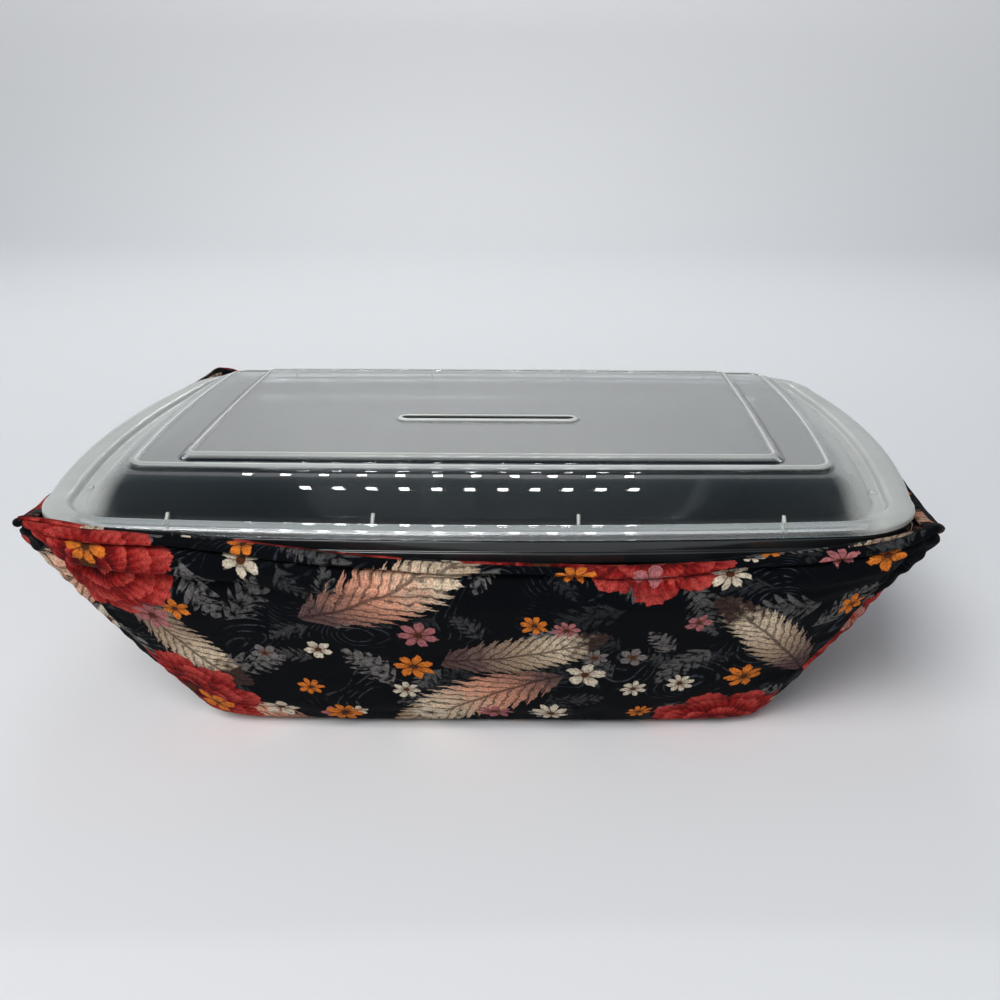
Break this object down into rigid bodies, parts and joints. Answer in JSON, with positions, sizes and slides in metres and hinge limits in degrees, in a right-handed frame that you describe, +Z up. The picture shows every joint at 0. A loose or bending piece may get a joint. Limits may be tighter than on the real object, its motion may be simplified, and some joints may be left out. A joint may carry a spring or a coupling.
{
  "type": "microwave bowl cozy",
  "caption": "Quilted cotton cozy with pointed corner ears, holding a flared black food tray under a clear domed lid with a steam slot.",
  "frame": {"origin": "centre of the cozy's flat base, on the surface it stands on", "axes": "+X along the long side, +Y from front to back, +Z up"},
  "size_m": [0.234, 0.164, 0.0718],
  "materials": {
    "outer_cotton": "printed quilting cotton, dark ground",
    "lining_cotton": "printed quilting cotton, dark ground",
    "batting": "needled cotton wadding",
    "thread": "dark sewing thread",
    "tray_plastic": "black moulded polypropylene, satin",
    "lid_plastic": "clear moulded polypropylene, slightly hazy"
  },
  "bodies": {
    "cozy": {"outer_shell": "outer_cotton", "outer_batting": "batting", "lining_batting": "batting", "lining_shell": "lining_cotton", "rim_topstitch": "thread", "outer_dart_seam_front_right": "thread", "lining_dart_seam_front_right": "thread", "outer_dart_seam_back_right": "thread", "lining_dart_seam_back_right": "thread", "outer_dart_seam_back_left": "thread", "lining_dart_seam_back_left": "thread", "outer_dart_seam_front_left": "thread", "lining_dart_seam_front_left": "thread"},
    "tray": {"food_tray": "tray_plastic"},
    "lid": {"vented_lid": "lid_plastic"}
  },
  "joints": [
    {"name": "tray_lift", "type": "slide", "parent": "cozy", "child": "tray", "axis": [0, 0, 1], "range_m": [0, 0.08]},
    {"name": "lid_lift", "type": "slide", "parent": "tray", "child": "lid", "axis": [0, 0, 1], "range_m": [0, 0.06]}
  ]
}
